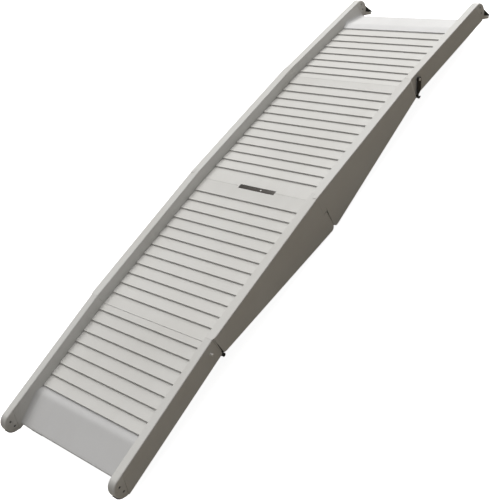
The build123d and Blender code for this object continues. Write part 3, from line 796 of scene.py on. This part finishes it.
pad_line = arc(END_LENGTH / MM, CAP_MIDDLE / MM, CAP_RADIUS / MM + PAD_GAP, PAD_BACK) + list(PAD_FACE)
face_top, face_foot = Vector(PAD_FACE[0]) * MM, Vector(PAD_FACE[1]) * MM
for side, name in ((-1, "left"), (1, "right")):
    place, body = section_frame(1, True), BODY[1, True]
    arm = slab("arm", ARM_LINE, side, ARM_X, ARM_ROUND)
    cap = merge(f"round_grip_cap_{name}", end_cap("cap", side, 1), arm)
    fit(cap, place, body, "grey_plastic", f"grip_cap_{name}", finish=rail_plastic)
    wedge = slab("wedge", pad_line, side, PAD_X, PAD_ROUND)
    for k in range(PAD_GROOVES):
        middle = face_top.lerp(face_foot, (k + 0.8) / (PAD_GROOVES + 0.6))
        cut(wedge, turned("groove", [(side * x, GROOVE_RADIUS) for x in GROOVE_X], middle, 8))
    wedge.name = f"ribbed_grip_pad_{name}"
    fit(wedge, place, body, "black_rubber", f"grip_pad_{name}", finish=black_rubber)

# ---- Latch and catch peg ----
# A flat black nylon hook swings on a shouldered screw through the upper section's right rail, on a washer.
# When the ramp is folded it turns over and takes hold of the plated peg on the lower section's rail, and
# holds the four sections together.
LATCH_AT = (21.8 * MM, 10.8 * MM)
PEG_AT = (-21.7 * MM, 7.6 * MM)
LATCH_HANG = radians(28.5)
LATCH_X = (204.7 * MM, 206.9 * MM)
LATCH_EDGE = 0.4 * MM
PIVOT_HOLE = 3.06 * MM
# The hook's own sizes, in mm.
LATCH_REACH = 39.2  # from the pivot to the seat of the peg
LATCH_HALF = 7.2
HOOK_SEAT = 3.0  # radius of the seat
HOOK_OUT = 7.4
HOOK_TIP = 1.9
# Turned pieces: places across and radii, in mm.
WASHER_PROFILE = ((201.2, 5.2), (201.5, 5.5), (204.2, 5.5), (204.5, 5.2))
SCREW_PROFILE = ((203, 2.9), (207.1, 2.9), (207.1, 3.5), (207.3, 3.8), (207.7, 3.5), (208.0, 2.4))
PEG_PROFILE = ((201.2, 2.1), (207.2, 2.1), (207.2, 2.6), (207.4, 2.9), (208.0, 2.8), (208.4, 2.0))
DRIVE_X = (207.6 * MM, 209 * MM)  # the slot in the screw's head
DRIVE_HALF = Vector((2 * MM, 0.4 * MM))


def latch_outline():
    """Side outline of the hook in mm, pivot at the origin and strap down -Z; its mouth opens to +Y."""
    seat = -LATCH_REACH
    line = arc(0, 0, LATCH_HALF, range(0, 181, 12))
    line += [(-LATCH_HALF, seat + 6.0), (-HOOK_OUT, seat + 4.0)]
    line += arc(0, seat, HOOK_OUT, range(180, 337, 12))
    line += arc(5.1, seat - 2.5, HOOK_TIP, (10, 50, 90, 130, 170))
    line += arc(0, seat, HOOK_SEAT, range(-45, -181, -15))
    return line + [(-2.0, seat + 2.3), (1.4, -32.6), (4.0, -29.6), (LATCH_HALF, -23.0)]


def flat_plate(name, line, x0, x1, edge):
    """Flat plate with softened rims, cut to a closed outline in mm."""
    bm = bmesh.new()
    rings = []
    count = len(line)
    for x, inset in ((x0, edge), (x0 + edge * 0.4, edge * 0.3), (x0 + edge, 0), (x1 - edge, 0),
                     (x1 - edge * 0.4, edge * 0.3), (x1, edge)):
        ring = []
        for k, (y, z) in enumerate(line):
            before, after = Vector(line[k - 1]), Vector(line[(k + 1) % count])
            along = (after - before).normalized()
            inward = Vector((-along.y, along.x))
            spot = Vector((y, z)) * MM + inward * inset
            ring.append(Vector((x, spot.x, spot.y)))
        rings.append(ring)
    skin(bm, rings, True, True)
    return as_object(bm, name)


hang = section_frame(1, True) @ Matrix.Translation((0, *LATCH_AT)) @ Matrix.Rotation(-LATCH_HANG, 4, "X")
hook = flat_plate("black_latch_hook", latch_outline(), *LATCH_X, LATCH_EDGE)
hole = [(x, PIVOT_HOLE) for x in (LATCH_X[0] - 1 * MM, LATCH_X[1] + 1 * MM)]
cut(hook, turned("pivot hole", hole, (0, 0)))
fit(hook, hang, "latch", "black_nylon", "latch_hook", finish=black_nylon)
washer = turned("latch_washer", in_metres(WASHER_PROFILE), LATCH_AT)
fit(washer, section_frame(1, True), BODY[1, True], "black_nylon", "latch_spacer", finish=black_nylon)
screw = turned("latch_pivot_screw", in_metres(SCREW_PROFILE), LATCH_AT)
drive = box("drive", (DRIVE_X[0], *(Vector(LATCH_AT) - DRIVE_HALF)),
            (DRIVE_X[1], *(Vector(LATCH_AT) + DRIVE_HALF)))
cut(screw, drive)
fit(screw, section_frame(1, True), BODY[1, True], "bright_steel", "latch_screw", finish=bright_steel)
peg = turned("shouldered_catch_peg", in_metres(PEG_PROFILE), PEG_AT)
fit(peg, section_frame(-1, True), BODY[-1, True], "bright_steel", "catch_peg", finish=bright_steel)

# ---- Studio ----
# Plain pale floor, a wide soft lamp far beyond the grip end, a low one that rakes the treads, a weak fill
# and the camera.  The floor throws warm light back, reads white from above and clear from below.
FLOOR_HALF = 30.0
FLOOR_DROP = 0.5 * MM  # below the feet
scene = bpy.context.scene
scene.view_settings.view_transform = "Standard"
bm = bmesh.new()
bmesh.ops.create_grid(bm, x_segments=1, y_segments=1, size=FLOOR_HALF)
floor = as_object(bm, "studio_floor")
floor.location.z = -FLOOR_DROP
paper = bpy.data.materials.new("studio paper")
paper.use_nodes = True
nodes = paper.node_tree.nodes
nodes["Principled BSDF"].inputs["Base Color"].default_value = (0.21, 0.175, 0.125, 1)
nodes["Principled BSDF"].inputs["Roughness"].default_value = 1.0
lit = grow(paper, "ShaderNodeBsdfDiffuse", Color=(0.8, 0.8, 0.8, 1))
glow = grow(paper, "ShaderNodeEmission", Color=(1, 1, 1, 1), Strength=0.92)
both = nodes.new("ShaderNodeAddShader")
seen = nodes.new("ShaderNodeMixShader")
rays = nodes.new("ShaderNodeLightPath")
clear = nodes.new("ShaderNodeBsdfTransparent")
facing = nodes.new("ShaderNodeNewGeometry")
whole = nodes.new("ShaderNodeMixShader")
for source, target in ((lit.outputs[0], both.inputs[0]), (glow.outputs[0], both.inputs[1]),
                       (rays.outputs["Is Camera Ray"], seen.inputs[0]),
                       (nodes["Principled BSDF"].outputs[0], seen.inputs[1]),
                       (both.outputs[0], seen.inputs[2]),
                       (facing.outputs["Backfacing"], whole.inputs[0]), (seen.outputs[0], whole.inputs[1]),
                       (clear.outputs[0], whole.inputs[2]),
                       (whole.outputs[0], nodes["Material Output"].inputs["Surface"])):
    wire(paper, source, target)
floor.data.materials.append(paper)

world = bpy.data.worlds.new("studio")
scene.world = world
world.use_nodes = True
world.node_tree.nodes["Background"].inputs["Color"].default_value = (1.0, 0.99, 0.97, 1)
world.node_tree.nodes["Background"].inputs["Strength"].default_value = 0.19


def lamp(name, place, size, power, colour):
    """Square area lamp that faces the origin."""
    light = bpy.data.lights.new(name, "AREA")
    light.size = size
    light.energy = power
    light.color = colour
    made = bpy.data.objects.new(name, light)
    scene.collection.objects.link(made)
    made.location = place
    made.rotation_euler = Vector(place).to_track_quat("Z", "Y").to_euler()


lamp("key", (-3.2, 14, 14.5), 12, 3700, (1.0, 0.99, 0.98))
lamp("sweep", (-2, 16, 5.6), 6, 1250, (1.0, 1.0, 0.99))
lamp("fill", (0.4, -5, 3.2), 3, 34, (1.0, 0.99, 0.97))

CAMERA_FROM_CREST = Vector((1.41713, -0.97397, 1.27476))
CAMERA_RIGHT = Vector((0.72390, 0.56623, -0.39415))
CAMERA_UP = Vector((-0.20286, 0.72076, 0.66284))
lens = bpy.data.cameras.new("camera")
lens.lens = 65.69
lens.sensor_width = 36
lens.sensor_fit = "HORIZONTAL"
lens.clip_start = 0.05
camera = bpy.data.objects.new("camera", lens)
scene.collection.objects.link(camera)
back = CAMERA_RIGHT.cross(CAMERA_UP).normalized()
turn = Matrix((CAMERA_RIGHT, back.cross(CAMERA_RIGHT).normalized(), back)).transposed().to_4x4()
camera.matrix_world = Matrix.Translation(crest + CAMERA_FROM_CREST) @ turn
scene.camera = camera
